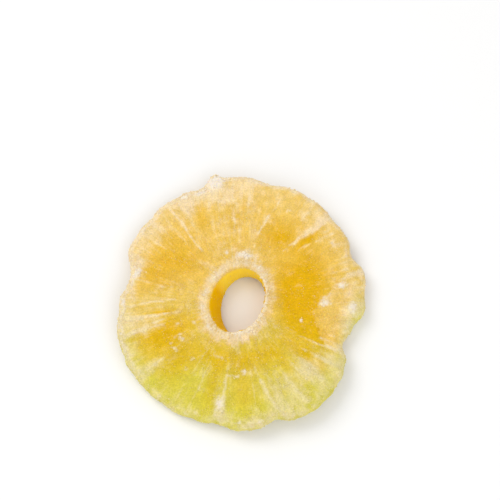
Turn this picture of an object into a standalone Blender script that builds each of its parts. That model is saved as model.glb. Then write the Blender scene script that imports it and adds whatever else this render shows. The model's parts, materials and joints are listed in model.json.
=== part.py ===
"""A dried, candied pineapple ring: one slice of peeled fruit with the core cut out, dried until it is leathery.

The ring lies flat on a surface at z = 0, with the side that faces up in the photograph on top. The origin is
under the middle of the ring's outline. +X points right and +Y points up in the photograph.

Places on the ring are given as a clock angle in degrees, anticlockwise from +X, and a distance from the hole's
centre.
"""

import bpy
import numpy as np

# Driving dimensions. Lengths are in millimetres here, and add_ring turns the finished points into metres.
MM = 0.001
THICKNESS_AT_HOLE = 7.4
THICKNESS_AT_RIM = 5.6
RIM_ROUND = 3.0
HOLE_ROUND = 0.8

# How far the rim reaches, as (clock angle, distance). The low points are the waists between its lobes.
RIM_REACH = (
    (3, 38.6), (12, 40.0), (32, 39.9), (45, 40.4), (53, 41.3), (63, 41.8), (72, 41.1), (90, 43.0), (117, 41.3),
    (147, 39.4), (164, 34.4), (182, 36.5), (192, 37.6), (204, 38.1), (239, 37.5), (257, 36.9), (275, 38.7),
    (309, 39.3), (323, 37.9), (331, 36.5), (336, 33.4), (348, 35.0), (356, 38.4),
)

# What stands out of the rim or is cut into it, as (clock angle, half width in degrees, height). The first is a
# torn nub of flesh, and the others are notches.
RIM_MARKS = ((99.4, 2.2, 2.6), (23, 4.0, -2.0), (107, 5.0, -0.8), (285, 5.5, -2.0))

# The fruitlets' ends scallop the rim's side, as (how many go round, height, start in radians).
RIM_SCALLOPS = ((23, 0.16, 0.4), (31, 0.13, 2.1), (44, 0.09, 4.0))

# The core's hole is oval. The cutter went through at a slant, so its lower mouth is shifted, turned and narrower.
# Both shifts are from the centre that the clock angles are about.
HOLE_HALF_LENGTH = 10.0
HOLE_HALF_WIDTH = 7.5
UPPER_MOUTH_TURN = 66.0
UPPER_MOUTH_SHIFT = (-0.5, 0.65)
LOWER_MOUTH_TURN = 84.0
LOWER_MOUTH_SHIFT = (2.4, 0.1)
LOWER_MOUTH_NARROWING = 0.4
SLANT_REACH = 10.0

# The slice warped as it dried: it stands on low stretches of its rim and lifts between them.
LOW_STRETCHES = 3
FIRST_LOW_STRETCH = 355.0
STRETCH_UNEVENNESS = 0.35
RIM_LIFT = 2.7
HOLE_LIFT = 0.9
SADDLE_LIFT = 0.45
SADDLE_TURN = 25.0
FOOT_PRESS = 0.5

# Broad ridges (height over 0) and furrows (under 0) along the upper face's fibres, as (clock angle, distance of
# the inner end, distance of the outer end, half width, height).
UPPER_FIBRES = (
    (3, 14, 26, 3.4, -0.45), (26, 16, 30, 2.6, -0.40), (46, 21, 39, 1.4, 0.60), (59, 19, 31, 3.2, -0.60),
    (83, 24, 40, 1.6, 0.45), (100, 19, 38, 1.3, 0.35), (111, 20, 37, 1.9, -0.60), (132, 18, 32, 3.0, -0.50),
    (141, 22, 36, 1.3, 0.40), (152, 18, 33, 2.4, -0.45), (166, 20, 35, 1.6, 0.40), (180, 16, 35, 1.2, 0.40),
    (193, 18, 37, 1.3, 0.50), (204, 17, 33, 2.8, -0.60), (216, 22, 37, 1.4, 0.70), (225, 20, 34, 2.2, -0.60),
    (252, 20, 36, 1.9, -0.55), (260, 14, 38, 1.5, 0.70), (270, 20, 36, 2.2, -0.50), (286, 16, 38, 1.3, 0.65),
    (293, 22, 34, 1.9, -0.40), (309, 24, 34, 1.8, 0.45), (318, 19, 35, 1.8, -0.70), (340, 15, 27, 2.6, -0.40),
)
FIBRE_INNER_FADE = 5.0
FIBRE_OUTER_FADE = 4.0

# Crusted lumps (height over 0) and one pit of the upper face, as (clock angle, distance, half width, height).
UPPER_LUMPS = (
    (356, 34.0, 2.2, 0.75), (2, 26.5, 2.4, 0.55), (10, 32.5, 1.8, 0.50), (346, 30.0, 2.0, 0.45),
    (312, 30.0, 2.8, 0.50), (81, 15.5, 1.9, 0.45), (214, 20.5, 1.7, 0.50), (98, 40.5, 1.7, 0.80),
    (163, 33.5, 2.2, 0.50), (274, 37.0, 1.6, -0.55),
)

# The cored edge is crusted, and the upper face rises to an uneven collar there. The unevenness is a share of
# its height, as (how many go round, share, start in radians).
COLLAR_HEIGHT = 0.45
COLLAR_WIDTH = 3.4
COLLAR_UNEVENNESS = ((5, 0.35, 0.8), (11, 0.20, 0.0))

# The lower face dried against a tray: its fibres are shallow, and fade in from FADE_START to FADE_END. They are
# given as (how many go round, height, start in radians).
LOWER_FIBRES = ((17, 0.16, 0.9), (26, 0.13, 3.3), (38, 0.07, 1.7))
LOWER_FADE_START = 12.0
LOWER_FADE_END = 24.0

# The spacing of the waves that go round the ring wanders, this far in radians and so many times a turn.
WANDER = 1.4
WANDER_COUNT = 3

# Mesh fineness, in faces: round the ring, then round its section.
AROUND = 160
RIM_FACES = 6
UPPER_FACES = 13
HOLE_FACES = 5
LOWER_FACES = 11

# The plain torus that the ring is shaped from.
TORUS_RADIUS = 24.0
TORUS_SECTION_RADIUS = 3.0

FLESH_COLOUR = (0.83, 0.52, 0.10, 1.0)
FLESH_ROUGHNESS = 0.42


def clear_scene():
    """Remove every object that the startup file holds."""
    for item in list(bpy.data.objects):
        bpy.data.objects.remove(item)


def smooth_step(share):
    """Ease from 0 to 1, level at both ends."""
    share = np.clip(share, 0.0, 1.0)
    return share * share * (3.0 - 2.0 * share)


def bump(distance):
    """A rounded bump of height 1, whose half width is 1."""
    return np.exp(-(distance ** 2))


def angle_between(turn, degrees):
    """Signed angle in radians from a clock angle to each turn, the short way round."""
    return (turn - np.radians(degrees) + np.pi) % (2.0 * np.pi) - np.pi


def waves(turn, table):
    """Sum of waves that go round the ring, each as (how many go round, height, start in radians)."""
    total = np.zeros_like(turn)
    for count, height, start in table:
        total += height * np.sin(count * turn + start + WANDER * np.sin(WANDER_COUNT * turn + start))
    return total


def rim_reach(turn):
    """Distance of the rim at each turn: eased between the points of RIM_REACH, with its marks and scallops."""
    clock, reach = np.array(RIM_REACH).T
    clock = np.append(clock, clock[0] + 360.0)
    reach = np.append(reach, reach[0])
    degrees = (np.degrees(turn) - clock[0]) % 360.0 + clock[0]
    before = np.clip(np.searchsorted(clock, degrees, side="right") - 1, 0, len(RIM_REACH) - 1)
    share = (degrees - clock[before]) / (clock[before + 1] - clock[before])
    rim = reach[before] + (reach[before + 1] - reach[before]) * smooth_step(share)
    for mark_clock, half_width, height in RIM_MARKS:
        rim += height * bump(np.degrees(angle_between(turn, mark_clock)) / half_width)
    return rim + waves(turn, RIM_SCALLOPS)


def hole_reach(turn, mouth_turn=UPPER_MOUTH_TURN):
    """Distance of the hole's wall from its centre at each turn: an ellipse, turned as one of the mouths is."""
    along = turn - np.radians(mouth_turn)
    spread = np.hypot(HOLE_HALF_WIDTH * np.cos(along), HOLE_HALF_LENGTH * np.sin(along))
    return HOLE_HALF_WIDTH * HOLE_HALF_LENGTH / spread


def section_stations():
    """Points round the ring's section, from under the rim over the top to the hole and back below.

    Returns three arrays: the share of the way from the hole to the rim, the push into an edge's rounding
    (over 0 at the rim, under 0 at the hole), and the height, from -1 on the lower face to 1 on the upper one.
    """
    rim = np.radians(np.linspace(-90, 90, RIM_FACES, endpoint=False))
    upper = np.linspace(1, 0, UPPER_FACES, endpoint=False)
    hole = np.radians(np.linspace(90, 270, HOLE_FACES, endpoint=False))
    lower = np.linspace(0, 1, LOWER_FACES, endpoint=False)
    share = np.concatenate([np.ones(RIM_FACES), upper, np.zeros(HOLE_FACES), lower])
    push = np.concatenate([np.cos(rim), np.zeros(UPPER_FACES), np.cos(hole), np.zeros(LOWER_FACES)])
    height = np.concatenate([np.sin(rim), np.ones(UPPER_FACES), np.sin(hole), -np.ones(LOWER_FACES)])
    return share, push, height


def fibre_relief(turn, reach):
    """Height of the upper face's ridges and furrows, each running along the flesh's fibres."""
    relief = np.zeros_like(reach)
    for clock, inner, outer, half_width, height in UPPER_FIBRES:
        starts = smooth_step((reach - inner) / FIBRE_INNER_FADE + 0.5)
        ends = smooth_step((outer - reach) / FIBRE_OUTER_FADE + 0.5)
        relief += height * bump(reach * angle_between(turn, clock) / half_width) * starts * ends
    return relief


def lump_relief(turn, reach):
    """Height of the crusted lumps and the pit of the upper face."""
    relief = np.zeros_like(reach)
    for clock, distance, half_width, height in UPPER_LUMPS:
        across = distance * angle_between(turn, clock)
        relief += height * bump(np.hypot(across, reach - distance) / half_width)
    return relief


def collar_relief(turn, reach):
    """Height of the crusted collar round the hole."""
    from_wall = reach - hole_reach(turn) - HOLE_ROUND
    return COLLAR_HEIGHT * (1.0 + waves(turn, COLLAR_UNEVENNESS)) * bump(from_wall / COLLAR_WIDTH)


def lower_relief(turn, reach):
    """Height of the lower face's shallow fibres."""
    fade = smooth_step((reach - LOWER_FADE_START) / (LOWER_FADE_END - LOWER_FADE_START))
    return waves(turn, LOWER_FIBRES) * fade


def underside(turn, share):
    """Height of the warped lower face above the surface that the ring lies on."""
    stretch = LOW_STRETCHES * angle_between(turn, FIRST_LOW_STRETCH) + STRETCH_UNEVENNESS * np.sin(2.0 * turn)
    rim = RIM_LIFT * share ** 2 * (0.5 - 0.5 * np.cos(stretch))
    saddle = SADDLE_LIFT * share * (1.0 - share) * (1.0 - np.cos(2.0 * angle_between(turn, SADDLE_TURN)))
    return rim + saddle + HOLE_LIFT * (1.0 - share) ** 2


def ring_points():
    """Vertices of the ring in millimetres, as (round the ring, round the section, xyz)."""
    stations, push, height = section_stations()
    turn, share = np.meshgrid(np.linspace(0.0, 2.0 * np.pi, AROUND, endpoint=False), stations, indexing="ij")
    inner = hole_reach(turn) + HOLE_ROUND
    outer = rim_reach(turn) - RIM_ROUND
    reach = inner + (outer - inner) * share + push * np.where(push > 0, RIM_ROUND, HOLE_ROUND)

    # The slanted cut moves only the flesh near the hole.
    upper_share = 0.5 + 0.5 * height
    lower_share = 1.0 - upper_share
    near_hole = bump((reach - hole_reach(turn)) / SLANT_REACH)
    lower_widening = hole_reach(turn, LOWER_MOUTH_TURN) - hole_reach(turn) - LOWER_MOUTH_NARROWING
    reach = reach + lower_widening * lower_share * near_hole
    shift_x = UPPER_MOUTH_SHIFT[0] * upper_share + LOWER_MOUTH_SHIFT[0] * lower_share
    shift_y = UPPER_MOUTH_SHIFT[1] * upper_share + LOWER_MOUTH_SHIFT[1] * lower_share
    x = reach * np.cos(turn) + shift_x * near_hole
    y = reach * np.sin(turn) + shift_y * near_hole

    thickness = THICKNESS_AT_HOLE + (THICKNESS_AT_RIM - THICKNESS_AT_HOLE) * share
    upper = fibre_relief(turn, reach) + lump_relief(turn, reach) + collar_relief(turn, reach)
    z = underside(turn, share) + thickness * upper_share
    z = z + upper * smooth_step(upper_share) + lower_relief(turn, reach) * smooth_step(lower_share)

    # The ring's own weight pressed its lowest stretches flat while it was soft.
    z = np.maximum(z - z.min() - FOOT_PRESS, 0.0)
    points = np.stack([x, y, z], axis=-1)
    middle = (points.min(axis=(0, 1)) + points.max(axis=(0, 1))) / 2.0
    middle[2] = 0.0
    return points - middle


def flesh_material():
    """Candied flesh: golden and a little glossy."""
    material = bpy.data.materials.new("candied_flesh")
    material.use_nodes = True
    shader = material.node_tree.nodes["Principled BSDF"]
    shader.inputs["Base Color"].default_value = FLESH_COLOUR
    shader.inputs["Roughness"].default_value = FLESH_ROUGHNESS
    shader.inputs["Metallic"].default_value = 0.0
    return material


def add_ring(collection):
    """Add a torus with the ring's fineness and move its vertices to the slice's true form.

    The torus lists its vertices section by section, each from the outside over the top, as ring_points does.
    """
    bpy.ops.mesh.primitive_torus_add(
        major_segments=AROUND,
        minor_segments=RIM_FACES + UPPER_FACES + HOLE_FACES + LOWER_FACES,
        major_radius=TORUS_RADIUS * MM,
        minor_radius=TORUS_SECTION_RADIUS * MM,
    )
    ring = bpy.context.object
    ring.name = "pineapple_ring"
    ring.data.name = "pineapple_ring"
    ring.data.vertices.foreach_set("co", (ring_points() * MM).astype(np.float32).ravel())
    ring.data.update()
    ring.data.shade_smooth()
    ring.data.materials.append(flesh_material())
    for home in list(ring.users_collection):
        home.objects.unlink(ring)
    collection.objects.link(ring)
    return ring


def main():
    """Build the ring in a collection of its own."""
    clear_scene()
    collection = bpy.data.collections.new("dried_pineapple")
    bpy.context.scene.collection.children.link(collection)
    add_ring(collection)


main()
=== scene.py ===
"""A sugared dried pineapple ring, dressed round the loaded frame: waxy golden flesh, frost and crystals.

The flesh is a finer copy of the ring's solid. Its fibres, crust and pores are shaped on that copy, and the
same named places decide where it is frosted, golden or lemon green. The sugar on it is real geometry: dust
and fine grains all over, and coarser crystals where the sugar has gathered.

A place on the ring is a clock angle in degrees, anticlockwise from +X as seen from above, and a distance in
millimetres from the clock's centre in the hole. Widths and heights of marks are in millimetres too, and
every other length is in metres. A share is a number from 0 to 1.
"""

import json
import logging
import math
from dataclasses import dataclass, field
from enum import Enum
from typing import Any, ClassVar

import bpy
import numpy as np
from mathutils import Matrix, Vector, noise


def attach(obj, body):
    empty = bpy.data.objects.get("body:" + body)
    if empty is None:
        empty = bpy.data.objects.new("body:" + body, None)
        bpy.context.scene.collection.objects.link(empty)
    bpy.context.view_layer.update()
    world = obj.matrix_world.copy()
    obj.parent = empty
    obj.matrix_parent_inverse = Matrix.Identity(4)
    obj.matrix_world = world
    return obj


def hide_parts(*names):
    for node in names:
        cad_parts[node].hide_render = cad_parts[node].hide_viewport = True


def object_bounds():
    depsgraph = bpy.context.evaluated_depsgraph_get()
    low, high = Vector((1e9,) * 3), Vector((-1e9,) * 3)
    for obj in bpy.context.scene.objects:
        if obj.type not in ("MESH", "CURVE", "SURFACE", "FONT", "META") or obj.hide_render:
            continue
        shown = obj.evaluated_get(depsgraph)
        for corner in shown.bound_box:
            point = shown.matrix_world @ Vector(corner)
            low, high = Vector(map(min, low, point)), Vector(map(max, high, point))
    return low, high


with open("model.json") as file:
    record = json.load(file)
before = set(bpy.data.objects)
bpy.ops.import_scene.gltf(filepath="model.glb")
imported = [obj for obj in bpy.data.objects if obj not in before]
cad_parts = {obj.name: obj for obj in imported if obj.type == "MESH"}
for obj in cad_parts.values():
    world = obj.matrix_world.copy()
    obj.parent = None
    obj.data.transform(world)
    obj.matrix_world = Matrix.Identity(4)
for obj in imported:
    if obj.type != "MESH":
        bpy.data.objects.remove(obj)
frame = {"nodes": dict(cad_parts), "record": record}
CAD_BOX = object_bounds()

log = logging.getLogger("dried_pineapple")

MM = 0.001
RING_NODE = "pineapple_ring"
BODY = "root"

# How bright a white matt surface looks under the studio's light, and how much white the gloss adds. Colours
# seen in the photograph are brought back to the surface's own colour with them.
LIGHT_GAIN = 1.12
GLOSS = 0.006

# The curve by which a screen shows a colour: a straight line up to the knee and a power above it.
CURVE_KNEE = 0.04045
CURVE_SLOPE = 12.92
CURVE_OFFSET = 0.055
CURVE_POWER = 2.4

# How much each finer layer of fractal noise weakens, and how much finer it is than the one before.
LAYER_FALL = 1.0
LAYER_STEP = 2.0

Colour = tuple[float, float, float, float]
Socket = bpy.types.NodeSocket


class Slot(Enum):
    """Material slots of the record."""

    FLESH = "candied_flesh"
    SUGAR = "sugar"


class SugarShape(Enum):
    """How a piece of sugar is modelled before it is copied."""

    DUST = "dust"
    GRAIN = "grain"
    CRYSTAL = "crystal"


def seen(red: int, green: int, blue: int) -> Colour:
    """Turn a colour as it looks under the studio's light into the surface's own linear colour.

    Args:
        red: Red as a screen shows it, 0 to 255.
        green: Green as a screen shows it, 0 to 255.
        blue: Blue as a screen shows it, 0 to 255.

    Returns:
        The linear colour with an alpha of 1.
    """
    shares = np.array([red, green, blue]) / 255.0
    curved = ((shares + CURVE_OFFSET) / (1.0 + CURVE_OFFSET)) ** CURVE_POWER
    linear = np.where(shares <= CURVE_KNEE, shares / CURVE_SLOPE, curved)
    own = np.clip((linear - GLOSS) / LIGHT_GAIN, 0.0, 1.0)
    return (*own.tolist(), 1.0)


def ease(share: np.ndarray) -> np.ndarray:
    """Ease from 0 to 1, level at both ends.

    Args:
        share: Any numbers; those outside 0 to 1 are held at the ends.

    Returns:
        The eased shares.
    """
    share = np.clip(share, 0.0, 1.0)
    return share * share * (3.0 - 2.0 * share)


def turned(turn: np.ndarray, clock: float | np.ndarray) -> np.ndarray:
    """Signed angle in radians from a clock angle to each turn, the short way round."""
    return (turn - np.radians(clock) + math.pi) % (2.0 * math.pi) - math.pi


def round_the_clock(table: tuple[tuple[float, float], ...], turn: np.ndarray) -> np.ndarray:
    """Read a table of clock angles and values at each turn, with straight lines between its rows."""
    return np.interp(np.degrees(turn) % 360.0, *np.array(table).T, period=360.0)


@dataclass(frozen=True)
class Rise:
    """A share that eases from 0 at low to 1 at high; high may be the smaller of the two."""

    low: float
    high: float

    def of(self, value: np.ndarray) -> np.ndarray:
        """The share at each value."""
        return ease((value - self.low) / (self.high - self.low))


@dataclass(frozen=True)
class Sector:
    """A part of the ring round a clock angle, whole within its narrow half width and gone at its wide one.

    Both half widths are in radians.
    """

    clock: float
    wide: float
    narrow: float

    def share(self, turn: np.ndarray) -> np.ndarray:
        """How much each turn belongs to the sector."""
        return Rise(self.wide, self.narrow).of(np.abs(turned(turn, self.clock)))


@dataclass(frozen=True)
class Unevenness:
    """Fractal noise with blobs of up to a size in millimetres, which starts at a place of its own."""

    size: float
    start: float
    layers: int = 3

    def at(self, points: np.ndarray) -> np.ndarray:
        """Give the noise at each point.

        Args:
            points: Points in millimetres, one a row.

        Returns:
            One number a point, mostly from -1 to 1.
        """
        scaled = (points / self.size + self.start).tolist()
        return np.array([noise.fractal(Vector(p), LAYER_FALL, LAYER_STEP, self.layers) for p in scaled])


@dataclass(frozen=True)
class Mouth:
    """The hole's upper mouth, an oval, and near its middle the clock's centre, which gives places.

    Its middle's x and y are in metres, the other lengths in millimetres, and its turn in degrees.
    """

    x: float
    y: float
    half_length: float = 10.4
    half_width: float = 7.9
    turn: float = 66.0
    from_opening: tuple[float, float] = (-1.62, -0.15)
    clock_shift: tuple[float, float] = (0.5, -0.65)

    @classmethod
    def from_record(cls) -> "Mouth":
        """Find the mouth from the opening that the record states, beside whose middle the slant puts it.

        Returns:
            The mouth.
        """
        low, high = frame["record"]["physics"]["openings"][0]["box_m"]
        middle = [(a + b) / 2.0 for a, b in zip(low, high)]
        return cls(middle[0] + cls.from_opening[0] * MM, middle[1] + cls.from_opening[1] * MM)

    @property
    def clock(self) -> tuple[float, float]:
        """The clock's centre."""
        return self.x + self.clock_shift[0] * MM, self.y + self.clock_shift[1] * MM

    def polar(self, points: np.ndarray) -> tuple[np.ndarray, np.ndarray]:
        """Give each point's turn about the clock's centre and its distance from it.

        Args:
            points: Points in metres, one a row.

        Returns:
            The turns in radians and the distances in millimetres.
        """
        across, up = (points[:, :2] - np.array(self.clock)).T
        return np.arctan2(up, across), np.hypot(across, up) / MM

    def beyond(self, points: np.ndarray) -> np.ndarray:
        """Give how far each point lies outside the oval, in millimetres, seen from above.

        Args:
            points: Points in metres, one a row.

        Returns:
            The distances, which are negative inside the oval.
        """
        across, up = (points[:, :2] - np.array([self.x, self.y])).T / MM
        along = np.arctan2(up, across) - math.radians(self.turn)
        spread = np.hypot(self.half_width * np.cos(along), self.half_length * np.sin(along))
        return np.hypot(across, up) - self.half_width * self.half_length / spread


@dataclass(frozen=True)
class Streak:
    """A ridge or furrow along the flesh's fibres, which may bend on its way out from its clock angle."""

    clock: float
    inner: float
    outer: float
    half_width: float
    height: float
    whiteness: float = 0.30
    bend: float = 0.0
    fade: float = 5.0

    def weight(self, turn: np.ndarray, reach: np.ndarray) -> np.ndarray:
        """How much each place belongs to the streak, from 0 to 1.

        Args:
            turn: The places' turns in radians.
            reach: Their distances from the clock's centre in millimetres.

        Returns:
            The shares.
        """
        across = reach * turned(turn, self.clock + self.bend * (reach - self.inner)) / self.half_width
        starts = ease((reach - self.inner) / self.fade + 0.5)
        ends = ease((self.outer - reach) / self.fade + 0.5)
        return np.exp(-(across**2)) * starts * ends


@dataclass(frozen=True)
class Patch:
    """A soft-edged patch on the upper face."""

    clock: float
    distance: float
    half_across: float
    half_along: float
    strength: float

    def weight(self, turn: np.ndarray, reach: np.ndarray) -> np.ndarray:
        """How strong the patch is at each place.

        Args:
            turn: The places' turns in radians.
            reach: Their distances from the clock's centre in millimetres.

        Returns:
            Its strength there.
        """
        across = self.distance * turned(turn, self.clock) / self.half_across
        along = (reach - self.distance) / self.half_along
        return self.strength * np.exp(-(across**2 + along**2))


@dataclass
class Fields:
    """What each vertex of the flesh looks like, in shares.

    Frost is the haze of fine sugar, packed is sugar so thick that it is white, gritty is how many loose
    grains lie there, gold is how deep and clear the flesh looks (on the wall of the hole, low gold marks its
    far side, which gets a painted lighter colour), lemon is how far its colour leans from warm yellow to
    lemon green, and cut is how much it belongs to the clear wall of the hole.
    """

    frost: np.ndarray
    packed: np.ndarray
    gritty: np.ndarray
    gold: np.ndarray
    lemon: np.ndarray
    cut: np.ndarray

    def store(self, mesh: bpy.types.Mesh) -> None:
        """Write the shares to the mesh as attributes of its vertices.

        Args:
            mesh: The mesh, with its vertices in the shares' order.
        """
        for name, values in vars(self).items():
            made = mesh.attributes.new(name, "FLOAT", "POINT")
            made.data.foreach_set("value", np.clip(values, 0.0, 1.0).astype(np.float32))

    def at(self, rows: np.ndarray) -> "Fields":
        """Give the shares at chosen vertices."""
        return Fields(*(values[rows] for values in vars(self).values()))


# A speck ends at its radius and is whole within its middle, in shares of its cell. The chosen cells' specks
# come in over a share of the cells.
SPECK_RADIUS = 0.45
SPECK_MIDDLE = 0.12
SPECK_FADE = 0.20


class Shader:
    """A material in the making: adds nodes and joins them."""

    def __init__(self, name: str) -> None:
        """Start a material with its Principled shader.

        Args:
            name: The material's name.
        """
        self.material = bpy.data.materials.new(name)
        self.material.use_nodes = True
        self.tree = self.material.node_tree
        self.surface = self.tree.nodes["Principled BSDF"]

    def feed(self, socket: Socket, value: Any) -> None:
        """Join a node's output to a socket, or set the socket's own value.

        Args:
            socket: The socket.
            value: A node's output, or a value.
        """
        if isinstance(value, bpy.types.NodeSocket):
            self.tree.links.new(value, socket)
        else:
            socket.default_value = value

    def node(self, kind: str, inputs: dict[Any, Any], **settings: Any) -> bpy.types.Node:
        """Add a node.

        Args:
            kind: Blender's name for the node.
            inputs: What feeds its sockets, by name or number.
            **settings: The node's own options.

        Returns:
            The node.
        """
        made = self.tree.nodes.new(kind)
        for name, value in settings.items():
            setattr(made, name, value)
        for key, value in inputs.items():
            self.feed(made.inputs[key], value)
        return made

    def place(self) -> Socket:
        """Coordinates on the piece, in metres."""
        return self.node("ShaderNodeTexCoord", {}).outputs["Object"]

    def share(self, name: str) -> Socket:
        """One of the shares that the mesh stores."""
        return self.node("ShaderNodeAttribute", {}, attribute_name=name).outputs["Fac"]

    def maths(self, operation: str, first: Any, second: Any, third: Any = 0.0) -> Socket:
        """Combine two or three numbers."""
        return self.node("ShaderNodeMath", {0: first, 1: second, 2: third}, operation=operation).outputs[0]

    def rise(self, value: Any, low: float, high: float) -> Socket:
        """Ease a number from 0 at low to 1 at high."""
        inputs = {"Value": value, "From Min": low, "From Max": high}
        return self.node("ShaderNodeMapRange", inputs, interpolation_type="SMOOTHSTEP").outputs["Result"]

    def mix(self, share: Any, first: Any, second: Any) -> Socket:
        """Mix two colours."""
        return self.node("ShaderNodeMix", {0: share, 6: first, 7: second}, data_type="RGBA").outputs[2]

    def vector(self, operation: str, inputs: dict[Any, Any]) -> bpy.types.Node:
        """Combine or measure vectors."""
        return self.node("ShaderNodeVectorMath", inputs, operation=operation)

    def scaled(self, colour: Any, factor: Any) -> Socket:
        """Brighten or darken a colour."""
        return self.vector("SCALE", {0: colour, "Scale": factor}).outputs[0]

    def noise(self, place: Any, size: float, detail: float = 3.0) -> Socket:
        """Noise from 0 to 1, with blobs of a size in the unit of the coordinates."""
        inputs = {"Vector": place, "Scale": 1.0 / size, "Detail": detail}
        return self.node("ShaderNodeTexNoise", inputs).outputs["Fac"]

    def specks(self, place: Any, size: float, share: float) -> Socket:
        """Round specks in a share of the cells of a size, from 0 between them to 1 at their middles.

        Args:
            place: The coordinates.
            size: A cell's size in their unit.
            share: The share of the cells that have a speck.

        Returns:
            The specks.
        """
        cells = self.node("ShaderNodeTexVoronoi", {"Vector": place, "Scale": 1.0 / size})
        spot = self.rise(cells.outputs["Distance"], SPECK_RADIUS, SPECK_MIDDLE)
        chosen = self.rise(cells.outputs["Color"], 1.0 - share, 1.0 + SPECK_FADE - share)
        return self.maths("MULTIPLY", spot, chosen)

    def along_fibres(self, mouth: Mouth, fineness: float, stretch: float) -> Socket:
        """Coordinates that run along the fibres, for noise that is drawn out from the hole to the rim.

        Args:
            mouth: The hole's upper mouth, with the clock's centre.
            fineness: How many units the coordinates turn through in a radian.
            stretch: Length in metres of one unit along the fibres.

        Returns:
            The coordinates, with no seam.
        """
        x, y = mouth.clock
        centred = self.node("ShaderNodeMapping", {"Vector": self.place(), "Location": (-x, -y, 0.0)})
        flat = self.vector("MULTIPLY", {0: centred.outputs[0], 1: (1.0, 1.0, 0.0)}).outputs[0]
        away = self.vector("LENGTH", {0: flat}).outputs["Value"]
        outward = self.vector("NORMALIZE", {0: flat}).outputs[0]
        spun = self.vector("SCALE", {0: outward, "Scale": fineness}).outputs[0]
        lifted = self.node("ShaderNodeCombineXYZ", {"Z": self.maths("DIVIDE", away, stretch)}).outputs[0]
        return self.vector("ADD", {0: spun, 1: lifted}).outputs[0]

    def bump(self, height: Any, depth: float, below: Any = None) -> Socket:
        """Turn a height from 0 to 1 into a normal.

        Args:
            height: The height.
            depth: What a height of 1 stands for, in metres.
            below: The normal that this one is added to, if any.

        Returns:
            The normal.
        """
        inputs = {"Height": height, "Distance": depth, "Strength": 1.0}
        if below is not None:
            inputs["Normal"] = below
        return self.node("ShaderNodeBump", inputs).outputs["Normal"]


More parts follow.
